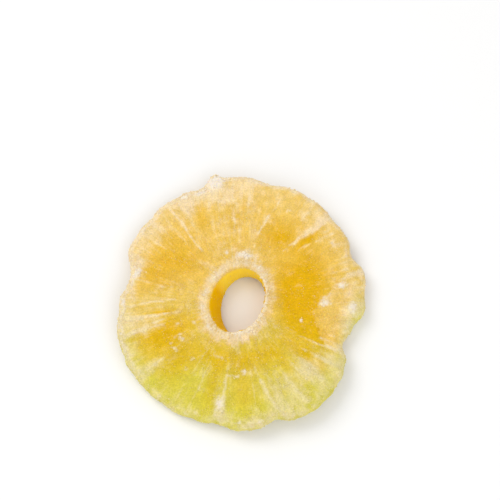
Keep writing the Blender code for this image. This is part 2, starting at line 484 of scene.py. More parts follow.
@dataclass(frozen=True)
class FleshFinish:
    """Candied flesh: waxy and a little clear, under a haze of fine sugar."""

    pale: Colour = seen(240, 204, 108)
    pale_lemon: Colour = seen(221, 211, 84)
    gold: Colour = seen(233, 183, 12)
    gold_lemon: Colour = seen(220, 194, 24)
    frost: Colour = seen(246, 222, 176)
    frost_lemon: Colour = seen(232, 218, 156)
    speck: Colour = seen(254, 230, 160)
    packed: Colour = seen(251, 241, 226)
    cut: Colour = seen(248, 192, 4)
    # Painted light: a brighter, paler gold for the far side of the hole's wall, which stands in for light
    # falling on it.
    far_wall: Colour = (0.98, 0.68, 0.05, 1.0)
    speck_size: float = 0.75 * MM
    speck_share: float = 0.55
    speck_strength: float = 0.40
    speck_bump: float = 0.10 * MM
    grit_size: float = 0.42 * MM
    grit_detail: float = 2.0
    grit_frost: float = 0.04
    grit_bump: float = 0.12 * MM
    grit_bright: float = 0.60
    grit_dark: float = 0.70
    clump_size: float = 2.6 * MM
    clump_detail: float = 2.0
    clump_frost: float = 0.5
    gritty_clump_frost: float = 1.4
    clump_bright: float = 0.26
    clump_dark: float = 0.87
    fibre_fineness: float = 34.0
    fibre_stretch: float = 9.0 * MM
    fibre_frost: float = 0.8
    fibre_bump: float = 0.11 * MM
    least_frost: float = 0.02
    most_frost: float = 0.98
    clear_roughness: float = 0.48
    frosted_roughness: float = 0.70
    refraction: float = 1.46
    gloss: float = 0.12
    wall_gloss: float = 0.03
    glow: float = 0.45
    glow_radius: tuple[float, float, float] = (1.0, 0.85, 0.30)
    depth: float = 1.8 * MM
    wall_depth: float = 5.0 * MM

    def colour(self, shader: Shader) -> Socket:
        """The flesh's colour with no sugar on it, from its gold and lemon shares.

        Args:
            shader: The material in the making.

        Returns:
            The colour.
        """
        lemon = shader.share("lemon")
        pale = shader.mix(lemon, self.pale, self.pale_lemon)
        deep = shader.mix(lemon, self.gold, self.gold_lemon)
        return shader.mix(shader.share("gold"), pale, deep)

    def haze(self, shader: Shader) -> Socket:
        """The colour of the frost, warm or lemon."""
        return shader.mix(shader.share("lemon"), self.frost, self.frost_lemon)

    def material(self, name: str, mouth: Mouth, gloss: float, depth: float) -> bpy.types.Material:
        """Make the material.

        Args:
            name: The material's name.
            mouth: The hole's upper mouth, from whose clock centre the fibres run.
            gloss: How strongly the surface mirrors.
            depth: How far light spreads under the surface, in metres.

        Returns:
            The material.
        """
        shader = Shader(name)
        place = shader.place()
        fibres = shader.noise(shader.along_fibres(mouth, self.fibre_fineness, self.fibre_stretch), 1.0)
        clumps = shader.noise(place, self.clump_size, self.clump_detail)
        grit = shader.noise(place, self.grit_size, self.grit_detail)
        specks = shader.specks(place, self.speck_size, self.speck_share)

        frost = shader.share("frost")
        gritty = shader.share("gritty")
        mottled = shader.maths("MULTIPLY_ADD", gritty, self.gritty_clump_frost, self.clump_frost)
        for uneven, amount in ((clumps, mottled), (fibres, self.fibre_frost), (grit, self.grit_frost)):
            frost = shader.maths("MULTIPLY_ADD", shader.maths("SUBTRACT", uneven, 0.5), amount, frost)
        frost = shader.rise(frost, self.least_frost, self.most_frost)

        colour = shader.mix(frost, self.colour(shader), self.haze(shader))
        sprinkled = shader.maths("MULTIPLY", specks, gritty)
        colour = shader.mix(shader.maths("MULTIPLY", sprinkled, self.speck_strength), colour, self.speck)
        grit_light = shader.maths("MULTIPLY_ADD", grit, self.grit_bright, self.grit_dark)
        clump_light = shader.maths("MULTIPLY_ADD", clumps, self.clump_bright, self.clump_dark)
        lit = shader.scaled(colour, shader.maths("MULTIPLY", grit_light, clump_light))
        colour = shader.mix(shader.share("packed"), lit, self.packed)
        # Painted light: on the wall of the hole, the far side (low gold) takes the brighter far-wall colour,
        # as if more lit.
        wall = shader.mix(shader.share("gold"), self.far_wall, self.cut)
        colour = shader.mix(shader.share("cut"), colour, wall)
        shader.feed(shader.surface.inputs["Base Color"], colour)

        roughness = {"Value": frost, "To Min": self.clear_roughness, "To Max": self.frosted_roughness}
        rough = shader.node("ShaderNodeMapRange", roughness)
        shader.feed(shader.surface.inputs["Roughness"], rough.outputs["Result"])
        normal = shader.bump(fibres, self.fibre_bump)
        normal = shader.bump(grit, self.grit_bump, normal)
        normal = shader.bump(sprinkled, self.speck_bump, normal)
        shader.feed(shader.surface.inputs["Normal"], normal)
        shader.surface.inputs["IOR"].default_value = self.refraction
        shader.surface.inputs["Specular IOR Level"].default_value = gloss
        shader.surface.inputs["Subsurface Weight"].default_value = self.glow
        shader.surface.inputs["Subsurface Radius"].default_value = self.glow_radius
        shader.surface.inputs["Subsurface Scale"].default_value = depth
        return shader.material


@dataclass(frozen=True)
class SugarFinish:
    """Sugar, which takes some of the flesh's colour because light passes through it."""

    white: Colour = seen(255, 243, 200)
    clearness: float = 0.80
    least_clear: float = 0.6
    cloud_size: float = 0.5 * MM
    cloud_detail: float = 2.0
    cloud_low: float = 0.35
    cloud_high: float = 0.65
    roughness: float = 0.60
    refraction: float = 1.5
    gloss: float = 0.12

    def material(self, name: str, flesh: FleshFinish) -> bpy.types.Material:
        """Make the material.

        Args:
            name: The material's name.
            flesh: The finish of the flesh that shows through.

        Returns:
            The material.
        """
        shader = Shader(name)
        under = shader.mix(shader.share("frost"), flesh.colour(shader), flesh.haze(shader))
        under = shader.mix(shader.share("packed"), under, flesh.packed)
        clouds = shader.noise(shader.place(), self.cloud_size, self.cloud_detail)
        cloud = shader.rise(clouds, self.cloud_low, self.cloud_high)
        clear = shader.maths("MULTIPLY_ADD", cloud, self.clearness, self.least_clear * self.clearness)
        shader.feed(shader.surface.inputs["Base Color"], shader.mix(clear, self.white, under))
        shader.surface.inputs["Roughness"].default_value = self.roughness
        shader.surface.inputs["IOR"].default_value = self.refraction
        shader.surface.inputs["Specular IOR Level"].default_value = self.gloss
        return shader.material


def only(piece: bpy.types.Object) -> None:
    """Make a piece the only selected and the active one.

    Args:
        piece: The piece.
    """
    bpy.ops.object.select_all(action="DESELECT")
    piece.select_set(True)
    bpy.context.view_layer.objects.active = piece


def vertex_rows(mesh: bpy.types.Mesh, name: str) -> np.ndarray:
    """Read a vector of each vertex, such as its place or its normal.

    Args:
        mesh: The mesh.
        name: "co" for places or "normal" for normals.

    Returns:
        One vector a row.
    """
    rows = np.zeros(len(mesh.vertices) * 3, np.float32)
    mesh.vertices.foreach_get(name, rows)
    return rows.reshape(-1, 3).astype(float)


# Thin threads of sugared fibre that show one by one. A streak is given by its clock angle, the distances at
# which it starts and ends, its half width and height and, where they matter, its whiteness and bend.
THREADS = (
    Streak(41.5, 25, 38, 0.40, 0.09, 0.45, -0.46), Streak(49.5, 22, 39, 0.75, 0.15, 0.60, -0.42),
    Streak(74, 23, 36, 0.38, 0.10, 0.45, -0.50), Streak(83, 26, 40, 0.60, 0.06),
    Streak(92, 22, 38, 0.40, 0.06), Streak(100, 19, 36, 0.45, 0.05), Streak(117, 27, 40, 0.60, 0.05),
    Streak(123, 20, 38, 0.42, 0.16, 0.70), Streak(128, 24, 38, 0.32, 0.07), Streak(141, 22, 33, 0.35, 0.07),
    Streak(152, 24, 33, 0.32, 0.06), Streak(166, 20, 34, 0.40, 0.06),
    Streak(176, 18, 34, 0.38, 0.10, 0.50, 0.34), Streak(188, 19, 37, 0.40, 0.10, 0.50),
    Streak(191.5, 23, 35, 0.45, 0.10, 0.50, 0.40), Streak(216, 25, 36, 0.50, 0.11),
    Streak(236, 17, 34, 0.40, 0.10), Streak(244, 16, 33, 0.32, 0.08), Streak(260, 20, 37, 0.50, 0.12, 0.55),
    Streak(278, 17, 33, 0.32, 0.08), Streak(281, 19, 37, 0.55, 0.13, 0.65, 0.47),
    Streak(299.5, 26, 38, 0.60, 0.12, 0.50, 0.30), Streak(309, 24, 33, 0.40, 0.08),
    Streak(315, 23, 36, 1.10, 0.10, 0.40), Streak(321.5, 23, 35, 0.45, 0.12, 0.60, 0.30),
    Streak(328.5, 20, 34, 0.45, 0.12, 0.55, 0.33), Streak(335, 24, 31, 0.40, 0.06, 0.30),
)

# The fan of fine lines on the right.
FAN = (
    Streak(5, 23, 34, 0.35, 0.03, 0.10), Streak(9, 25, 36, 0.30, 0.04, 0.12),
    Streak(14, 22, 34, 0.40, 0.04, 0.12), Streak(17, 24, 37, 0.30, 0.03, 0.10),
    Streak(21, 22, 35, 0.40, 0.04, 0.12), Streak(26, 24, 36, 0.35, 0.04, 0.10),
    Streak(31, 23, 33, 0.40, 0.03, 0.10),
)

# Where sugar has hazed the flesh; the patch at 165 degrees, a band along the left edge, is a painted
# highlight drawn as frost. A patch is given by its clock angle and distance, its half widths across and
# along the fibres, and its strength.
FROST_AND_EDGE_HIGHLIGHT = (
    Patch(142, 35.5, 8.0, 4.0, 0.28), Patch(116, 35.5, 2.8, 5.0, 0.50), Patch(92, 37.0, 11.0, 6.5, 0.28),
    # The patch at 165 degrees is a painted highlight along the lit left edge.
    Patch(45, 34.0, 1.5, 5.0, 0.50), Patch(165, 34.0, 8.0, 2.2, 0.85), Patch(190, 31.0, 3.2, 7.0, 0.50),
    Patch(200, 36.5, 7.0, 2.5, 0.30), Patch(215, 32.0, 1.7, 4.5, 0.60), Patch(259, 33.0, 1.9, 4.0, 0.85),
    Patch(292, 32.0, 4.6, 6.5, 0.48), Patch(312, 29.0, 4.2, 3.2, 0.50), Patch(328, 34.0, 2.0, 3.6, 0.45),
    Patch(356, 34.0, 3.2, 2.6, 0.34), Patch(2, 26.4, 1.6, 2.4, 0.34), Patch(10, 32.3, 1.8, 2.2, 0.40),
    Patch(83, 15.5, 3.6, 1.7, 0.60), Patch(213, 20.5, 1.9, 1.6, 0.30), Patch(318, 36.0, 6.0, 4.0, 0.22),
    Patch(325, 30.0, 4.0, 4.0, 0.28), Patch(100, 42.0, 2.6, 2.2, 0.60), Patch(274, 36.6, 2.4, 1.4, 0.40),
    Patch(109, 38.6, 7.0, 1.5, 0.60), Patch(349, 32.4, 2.2, 2.2, 0.40), Patch(86, 24.5, 8.0, 5.0, 0.14),
    Patch(177, 28.0, 4.0, 6.0, 0.14), Patch(267, 16.5, 4.0, 2.5, 0.15),
)

# Where the flesh is thin, clear and deep in colour.
GOLDEN = (
    Patch(25, 22.0, 8.5, 8.0, 0.70), Patch(0, 17.0, 7.5, 6.0, 0.80), Patch(345, 22.0, 7.0, 6.5, 0.90),
    Patch(59, 25.0, 5.0, 5.0, 0.70), Patch(142, 24.0, 7.5, 7.5, 0.60), Patch(160, 27.0, 4.0, 5.0, 0.35),
    Patch(203, 23.5, 5.5, 9.0, 0.90), Patch(225, 25.0, 4.5, 7.0, 0.55), Patch(252, 27.0, 2.4, 8.0, 0.50),
    Patch(272, 27.0, 3.4, 8.0, 0.38), Patch(320, 27.5, 2.4, 6.5, 0.76), Patch(335, 27.0, 2.8, 6.0, 0.48),
    Patch(42.5, 30.0, 1.4, 4.5, 0.60), Patch(111, 31.0, 1.9, 5.5, 0.38), Patch(92, 27.0, 3.5, 7.0, 0.15),
    Patch(305, 24.0, 2.0, 5.0, 0.30), Patch(290, 18.0, 9.0, 4.0, 0.60), Patch(245, 18.0, 6.0, 4.0, 0.55),
    Patch(268, 17.0, 4.5, 3.0, 0.10), Patch(186, 23.0, 1.0, 3.5, 0.50),
)

# Where the flesh leans to lemon green more than its height in the ring explains.
LEMON = (
    Patch(240, 32.0, 9.0, 8.0, 0.45), Patch(348, 36.5, 6.5, 4.0, 0.85), Patch(275, 37.0, 8.0, 5.0, 0.30),
    Patch(305, 38.0, 9.0, 3.5, 0.45),
)

# Where the face is smooth, with few loose grains.
SMOOTH = (
    Patch(136, 31.0, 10.0, 8.0, 0.85), Patch(79, 36.0, 10.0, 5.0, 0.60), Patch(188, 30.0, 7.0, 7.0, 0.50),
    Patch(221, 34.0, 10.0, 5.0, 0.60), Patch(28, 20.0, 7.0, 6.0, 0.40), Patch(111, 31.0, 4.0, 7.0, 0.50),
)

# Small flakes of sugar that has gathered so thick that it is white.
FLAKES = (
    Patch(83, 15.1, 2.3, 1.0, 1.00), Patch(103, 16.4, 0.7, 0.6, 0.80), Patch(59, 12.6, 1.3, 0.9, 0.65),
    Patch(162, 32.2, 2.0, 0.9, 1.30), Patch(178, 34.7, 1.3, 0.7, 0.75), Patch(213, 20.4, 1.4, 0.7, 0.60),
    Patch(207, 20.0, 0.6, 0.8, 0.55), Patch(204, 14.7, 1.0, 0.5, 0.55), Patch(248, 17.8, 1.7, 0.5, 0.50),
    Patch(266, 22.6, 2.6, 0.5, 0.48), Patch(273, 21.3, 1.0, 0.9, 0.70), Patch(258.5, 31.3, 1.2, 2.3, 0.80),
    Patch(359.5, 26.0, 1.1, 2.0, 0.90), Patch(9, 31.7, 1.2, 1.4, 0.95), Patch(357, 34.3, 2.0, 1.5, 0.90),
    Patch(343, 19.4, 0.8, 0.5, 0.95), Patch(99, 40.6, 2.6, 2.4, 1.30), Patch(107.5, 38.6, 2.8, 0.7, 0.85),
    Patch(115, 39.3, 1.8, 0.8, 0.75), Patch(269, 36.2, 0.9, 0.6, 0.60), Patch(279, 36.4, 1.2, 0.6, 0.60),
    Patch(62, 33.5, 0.7, 0.7, 0.45), Patch(32, 34.5, 0.9, 0.8, 0.60), Patch(207, 21.6, 0.7, 0.6, 0.50),
    Patch(216, 23.7, 0.9, 0.7, 0.60), Patch(210, 23.8, 0.6, 0.7, 0.50), Patch(198, 19.5, 0.5, 1.0, 0.45),
    Patch(229, 22.2, 0.6, 1.0, 0.50), Patch(231, 25.3, 0.6, 0.9, 0.45), Patch(238, 25.5, 0.6, 1.2, 0.42),
    Patch(189, 10.9, 1.4, 0.7, 0.60), Patch(220, 12.0, 1.4, 0.8, 0.60), Patch(160, 10.6, 1.6, 0.8, 0.60),
)

# A pore near the rim, and the patch below the hole where loose grains have gathered.
PORE = Patch(274, 35.2, 1.0, 1.0, -0.45)
GRITTY_PATCH = Patch(266, 20.0, 9.0, 4.0, 0.60)

# The face that a vertex lies on, by how far its normal points up and by its millimetres beyond the mouth.
FACING_UP = Rise(0.25, 0.75)
FACING_DOWN = Rise(-0.25, -0.75)
IN_THE_HOLE = Rise(6.0, 4.0)
OVER_THE_MOUTH = Rise(0.3, -0.4)
AT_THE_RIM = Rise(12.0, 16.0)

# Towards the rim by the distance from the clock's centre, and down the ring by y, both in millimetres.
TOWARDS_RIM = Rise(30.0, 38.0)
DOWN_THE_RING = Rise(14.0, -36.0)

# What is uneven on the flesh. The streaks' wander and wobble are the widths of their sway in millimetres.
BROAD = Unevenness(6.0, 3.1)
CRUMBLY = Unevenness(1.6, 11.7)
FINE = Unevenness(0.7, 23.9, layers=2)
DRAWN = Unevenness(1.0, 37.7)
TORN = Unevenness(1.1, 41.3, layers=2)
BROKEN = Unevenness(1.4, 71.3, layers=2)
GRAINY = Unevenness(4.5, 91.7, layers=2)
WANDERING = Unevenness(5.0, 57.3, layers=2)
WOBBLING = Unevenness(1.8, 83.1, layers=2)
WANDER = 0.45
WOBBLE = 0.22

# Drawn noise is read on a cylinder of this radius, and this much of the way out along it.
DRAWN_RADIUS = 14.0
DRAWN_STRETCH = 0.25

# Nearer to the clock's centre than this, in millimetres, sway turns no further.
LEAST_REACH = 5.0


@dataclass(frozen=True)
class Survey:
    """Where each vertex of the flesh lies, and what is uneven there.

    Lengths are in millimetres and turns in radians. Upper, lower, rim and wall are shares of the ring's
    faces, edge is how near the rim is, and low_down is how far down the ring is as the photograph shows it.
    """

    points: np.ndarray
    up: np.ndarray
    beyond: np.ndarray
    turn: np.ndarray
    reach: np.ndarray
    upper: np.ndarray
    lower: np.ndarray
    rim: np.ndarray
    wall: np.ndarray
    edge: np.ndarray
    low_down: np.ndarray
    broad: np.ndarray
    crumbly: np.ndarray
    fine: np.ndarray
    drawn: np.ndarray

    @classmethod
    def of(cls, places: np.ndarray, normals: np.ndarray, mouth: Mouth) -> "Survey":
        """Survey the flesh.

        Args:
            places: The vertices' places in metres.
            normals: The vertices' normals.
            mouth: The hole's upper mouth.

        Returns:
            The survey.
        """
        points = places / MM
        up = normals[:, 2]
        beyond = mouth.beyond(places)
        upper = FACING_UP.of(up)
        lower = FACING_DOWN.of(up)
        side = 1.0 - upper - lower
        wall = np.maximum(side * IN_THE_HOLE.of(beyond), OVER_THE_MOUTH.of(beyond))
        turn, reach = mouth.polar(places)
        sway = WANDER * WANDERING.at(points)
        sway += WOBBLE * WOBBLING.at(points)
        turn = turn + sway / np.maximum(reach, LEAST_REACH)
        across = [DRAWN_RADIUS * np.cos(turn), DRAWN_RADIUS * np.sin(turn), DRAWN_STRETCH * reach]
        return cls(
            points=points,
            up=up,
            beyond=beyond,
            turn=turn,
            reach=reach,
            upper=upper * (1.0 - wall),
            lower=lower,
            rim=side * AT_THE_RIM.of(beyond),
            wall=wall,
            edge=TOWARDS_RIM.of(reach),
            low_down=DOWN_THE_RING.of(points[:, 1]),
            broad=BROAD.at(points),
            crumbly=CRUMBLY.at(points),
            fine=FINE.at(points),
            drawn=DRAWN.at(np.column_stack(across)),
        )

    def total(self, patches: tuple[Patch, ...]) -> np.ndarray:
        """How strong some patches are together at each vertex."""
        return sum(patch.weight(self.turn, self.reach) for patch in patches)

    def height(self, streaks: tuple[Streak, ...]) -> np.ndarray:
        """How high some streaks stand together at each vertex, in millimetres."""
        return sum(streak.height * streak.weight(self.turn, self.reach) for streak in streaks)

    def whiteness(self, streaks: tuple[Streak, ...]) -> np.ndarray:
        """How white some streaks are together at each vertex."""
        return sum(streak.whiteness * streak.weight(self.turn, self.reach) for streak in streaks)


@dataclass(frozen=True)
class FineFibres:
    """Fine fibres all round the ring, uneven in length, width and height."""

    count: int = 150
    seed: int = 7
    inner: tuple[float, float] = (11.0, 30.0)
    length: tuple[float, float] = (6.0, 15.0)
    half_width: tuple[float, float] = (0.28, 0.60)
    height: tuple[float, float] = (-0.09, 0.12)

    def streaks(self) -> tuple[Streak, ...]:
        """Draw the fibres, one in each step round the clock.

        Returns:
            The fibres.
        """
        draw = np.random.default_rng(self.seed)
        made = []
        for step in range(self.count):
            inner = draw.uniform(*self.inner)
            clock = 360.0 * (step + draw.uniform(0.0, 1.0)) / self.count
            outer = inner + draw.uniform(*self.length)
            half_width = draw.uniform(*self.half_width)
            made.append(Streak(clock, inner, outer, half_width, draw.uniform(*self.height)))
        return tuple(made)


@dataclass(frozen=True)
class Crust:
    """The raised crust on the right, whose edge is given as clock angles and distances."""

    edge: tuple[tuple[float, float], ...] = (
        (330, 31.0), (337, 26.0), (345, 23.5), (353, 22.5), (358, 24.5), (4, 26.3), (9, 30.5), (16, 34.0),
    )
    middle: float = 353.0
    half_turn: float = 23.0
    end: float = 4.0
    crumble: float = 1.2
    begins: Rise = Rise(-0.4, 0.6)

    def share(self, at: Survey) -> np.ndarray:
        """How much each vertex belongs to the crust.

        Args:
            at: The flesh's survey.

        Returns:
            The shares.
        """
        begins = round_the_clock(self.edge, at.turn)
        away = np.degrees(np.abs(turned(at.turn, self.middle)))
        inside = self.begins.of(at.reach - begins + self.crumble * at.crumbly)
        return inside * Rise(self.half_turn, self.half_turn - self.end).of(away)


@dataclass(frozen=True)
class Collar:
    """The collar of sugar round the hole, with its whiteness by clock angle, and the clear lip inside it."""

    whiteness: tuple[tuple[float, float], ...] = (
        (10, 0.42), (45, 0.68), (85, 0.85), (140, 0.78), (190, 0.64), (240, 0.85), (290, 0.88), (330, 0.54),
    )
    width: float = 3.2
    outer_fade: float = 1.6
    inner_fade: float = 1.4
    crumble: float = 1.4
    fraying: float = 0.6
    lip: Rise = Rise(1.5, 0.3)
    lip_crumble: float = 0.3
    lip_side: Sector = Sector(120, 1.6, 1.0)

    def share(self, at: Survey) -> np.ndarray:
        """How much each vertex belongs to the collar, and how white it is there.

        Args:
            at: The flesh's survey.

        Returns:
            The shares.
        """
        fades = Rise(self.width + self.outer_fade, self.width - self.inner_fade)
        frayed = at.beyond + self.crumble * at.crumbly + self.fraying * at.drawn
        return round_the_clock(self.whiteness, at.turn) * fades.of(frayed)

    def clear_lip(self, at: Survey) -> np.ndarray:
        """How much each vertex belongs to the lip that has little sugar."""
        return self.lip.of(at.beyond + self.lip_crumble * at.crumbly) * self.lip_side.share(at.turn)


@dataclass(frozen=True)
class ShoulderHighlight:
    """A painted highlight along the turn from the upper face to the rim, drawn as frost and packed sugar:
    faint all round and strongest on the side toward the key light.
    """

    tilt: Rise = Rise(0.985, 0.90)
    # The side toward the key light, where the painted highlight is strongest.
    side: Sector = Sector(135, 1.6, 0.9)
    other_side: float = 0.25
    this_side: float = 0.75

    def share(self, at: Survey) -> np.ndarray:
        """How much each vertex belongs to the shoulder's painted highlight.

        Args:
            at: The flesh's survey.

        Returns:
            The shares.
        """
        share = self.tilt.of(at.up) * AT_THE_RIM.of(at.beyond)
        return share * (self.other_side + self.this_side * self.side.share(at.turn))


@dataclass(frozen=True)
class Marks:
    """How much each vertex belongs to each mark, and its fibres' height in millimetres."""

    threads: np.ndarray
    fibre_height: np.ndarray
    crust: np.ndarray
    flakes: np.ndarray
    collar: np.ndarray
    lip: np.ndarray
    ragged: np.ndarray
    golden: np.ndarray
    shoulder: np.ndarray

    gaps: ClassVar[Rise] = Rise(-0.30, 0.25)
    gap_left: ClassVar[float] = 0.35
    thread_left: ClassVar[float] = 0.65
    fibre_crumble: ClassVar[float] = 0.5
    flake_edge: ClassVar[Rise] = Rise(0.15, 0.90)
    flake_crumble: ClassVar[float] = 0.35
    ragged_side: ClassVar[Sector] = Sector(335, math.radians(100), math.radians(60))
    dull_crust: ClassVar[float] = 0.45

    @classmethod
    def of(cls, at: Survey) -> "Marks":
        """Find the marks of the flesh.

        Args:
            at: The flesh's survey.

        Returns:
            The marks.
        """
        whole = cls.gap_left + cls.thread_left * cls.gaps.of(BROKEN.at(at.points))
        fibre_height = at.height(THREADS + FAN)
        fibre_height *= 1.0 + cls.fibre_crumble * at.crumbly
        fibre_height += at.height(FineFibres().streaks())
        crust = Crust().share(at)
        return cls(
            threads=whole * at.whiteness(THREADS + FAN),
            fibre_height=fibre_height,
            crust=crust,
            flakes=cls.flake_edge.of(at.total(FLAKES) + cls.flake_crumble * at.fine),
            collar=Collar().share(at),
            lip=Collar().clear_lip(at),
            ragged=cls.ragged_side.share(at.turn),
            golden=at.total(GOLDEN) * (1.0 - cls.dull_crust * crust),
            shoulder=ShoulderHighlight().share(at),
        )


@dataclass(frozen=True)
class Relief:
    """How high the marks stand on the flesh, in millimetres."""

    crust: float = 0.22
    crust_crumble: float = 0.8
    collar_crumbs: float = 0.10
    collar_fibres: float = 0.14
    flakes: float = 0.18
    crumbs: float = 0.14
    face_crumbs: float = 0.45
    grain: float = 0.06
    torn: float = 0.60

    def moves(self, at: Survey, marks: Marks) -> np.ndarray:
        """How far each vertex moves along its normal, in millimetres.

        Args:
            at: The flesh's survey.
            marks: The flesh's marks.

        Returns:
            The moves.
        """
        crusted = self.crust * marks.crust * (1.0 + self.crust_crumble * at.crumbly)
        collared = marks.collar * (self.collar_crumbs * at.crumbly + self.collar_fibres * at.drawn)
        move = at.upper * (marks.fibre_height + crusted)
        move += at.upper * (PORE.weight(at.turn, at.reach) + collared)
        move += at.upper * self.flakes * marks.flakes
        grained = self.grain * at.fine * (at.upper + at.rim)
        move += self.crumbs * at.crumbly * (self.face_crumbs + at.rim) + grained
        move += self.torn * marks.ragged * at.wall * TORN.at(at.points)
        return move


@dataclass(frozen=True)
class Frosting:
    """How much each mark frosts the flesh, in shares; the shoulder's painted highlight and a painted
    highlight band on the left edge are drawn as frost too.
    """

    everywhere: float = 0.16
    edge: float = 0.20
    crust: float = 0.06
    crust_line: float = 0.45
    collar: float = 0.80
    clear_lip: float = 0.65
    threads: float = 1.2
    most_thread: float = 0.6
    shoulder: float = 0.45
    shoulder_crumble: float = 0.6
    ridges: float = 0.6
    broad: float = 0.22
    golden: float = 0.42
    lower: float = 0.30
    lower_broad: float = 0.25
    rim: float = 0.85
    low_rim: float = 0.45
    rim_broad: float = 0.3

    def share(self, at: Survey, marks: Marks) -> np.ndarray:
        """How frosted each vertex is.

        Args:
            at: The flesh's survey.
            marks: The flesh's marks.

        Returns:
            The shares.
        """
        crust_line = 4.0 * marks.crust * (1.0 - marks.crust)
        collared = self.collar * marks.collar * (1.0 - self.clear_lip * marks.lip)
        frost = self.everywhere + at.total(FROST_AND_EDGE_HIGHLIGHT) + self.edge * at.edge + self.crust * marks.crust
        frost = frost + self.crust_line * crust_line + collared
        # The shoulder's painted highlight, drawn as frost.
        highlighted_shoulder = self.shoulder * marks.shoulder * (1.0 + self.shoulder_crumble * at.crumbly)
        frost += self.threads * np.clip(marks.threads, 0.0, self.most_thread) + highlighted_shoulder
        frost += (
            self.ridges * marks.fibre_height + self.broad * at.broad
            - self.golden * marks.golden * (1.0 - marks.collar)
        )
        lower = self.lower + self.lower_broad * at.broad
        rim = self.rim - self.low_rim * at.low_down + self.rim_broad * at.broad
        return at.upper * frost + at.lower * lower + at.rim * rim


@dataclass(frozen=True)
class Packing:
    """Where sugar has gathered so thick that it is white, in shares, and where the shoulder's painted
    highlight is white.
    """

    flakes: float = 0.85
    collar: float = 0.45
    collar_clumps: Rise = Rise(0.0, 0.5)
    collar_crumble: float = 0.6
    shoulder: float = 0.40
    shoulder_clumps: Rise = Rise(0.0, 0.5)
    shoulder_grain: float = 0.5
    rim: float = 0.6
    lip: float = 0.6
    lip_width: Rise = Rise(1.3, 0.4)
    lip_grain: float = 0.8

    def share(self, at: Survey, marks: Marks) -> np.ndarray:
        """How packed with sugar each vertex is.

        Args:
            at: The flesh's survey.
            marks: The flesh's marks.

        Returns:
            The shares.
        """
        collar_clumps = self.collar_clumps.of(at.drawn + self.collar_crumble * at.crumbly)
        packed = marks.flakes * self.flakes + self.collar * marks.collar * collar_clumps * (1.0 - marks.lip)
        # The shoulder's painted highlight, drawn as packed white sugar.
        shoulder_clumps = self.shoulder_clumps.of(at.crumbly + self.shoulder_grain * at.fine)
        packed += self.shoulder * marks.shoulder * shoulder_clumps
        lip = self.lip_width.of(at.beyond + self.lip_grain * at.fine)
        return (at.upper + self.rim * at.rim) * packed + self.lip * at.upper * marks.ragged * lip


@dataclass(frozen=True)
class Graininess:
    """Where loose grains lie, in shares."""

    patches: Rise = Rise(-0.30, 0.35)
    everywhere: float = 0.15
    in_patches: float = 0.85
    golden: float = 0.6
    smoothest: float = 0.9

    def share(self, at: Survey, marks: Marks) -> np.ndarray:
        """How many loose grains lie at each vertex.

        Args:
            at: The flesh's survey.
            marks: The flesh's marks.

        Returns:
            The shares.
        """
        gritty = self.patches.of(GRAINY.at(at.points))
        dull = 1.0 - self.golden * np.clip(marks.golden, 0.0, 1.0)
        gritty = self.everywhere + self.in_patches * gritty * dull
        gritty += GRITTY_PATCH.weight(at.turn, at.reach)
        gritty *= 1.0 - np.clip(at.total(SMOOTH), 0.0, self.smoothest)
        return gritty


@dataclass(frozen=True)
class Goldenness:
    """How deep and clear the flesh looks, in shares."""

    everywhere: float = 0.25
    edge: float = 0.25
    crust: float = 0.30
    broad: float = 0.18
    lower: float = 0.40
    rim: float = 0.10
    # The far side of the hole's wall, which gets a painted lighter colour.
    far_wall: Sector = Sector(88, 1.1, 0.5)

    def share(self, at: Survey, marks: Marks) -> np.ndarray:
        """How golden each vertex is; on the wall of the hole, 0 is its far side, which gets a painted
        lighter colour.

        Args:
            at: The flesh's survey.
            marks: The flesh's marks.

        Returns:
            The shares.
        """
        gold = self.everywhere + marks.golden - self.edge * at.edge
        gold = gold - self.crust * marks.crust + self.broad * at.broad
        wall = 1.0 - self.far_wall.share(at.turn)
        return at.upper * gold + at.lower * self.lower + at.rim * self.rim + at.wall * wall


@dataclass(frozen=True)
class LemonLean:
    """How far the flesh leans to lemon green, in shares."""

    low_down: float = 0.88
    low_edge: float = 0.42
    broad: float = 0.10
    golden: float = 0.25
    collar: float = 0.90
    crust: float = 0.45

    def share(self, at: Survey, marks: Marks) -> np.ndarray:
        """How lemon green each vertex is.

        Args:
            at: The flesh's survey.
            marks: The flesh's marks.

        Returns:
            The shares.
        """
        low_down = (self.low_down + self.low_edge * at.edge) * at.low_down
        lemon = low_down + at.total(LEMON) + self.broad * at.broad
        lemon -= (
            self.golden * np.clip(marks.golden, 0.0, 1.0) + self.collar * marks.collar
            + self.crust * marks.crust * (1.0 - at.edge)
        )
        return lemon


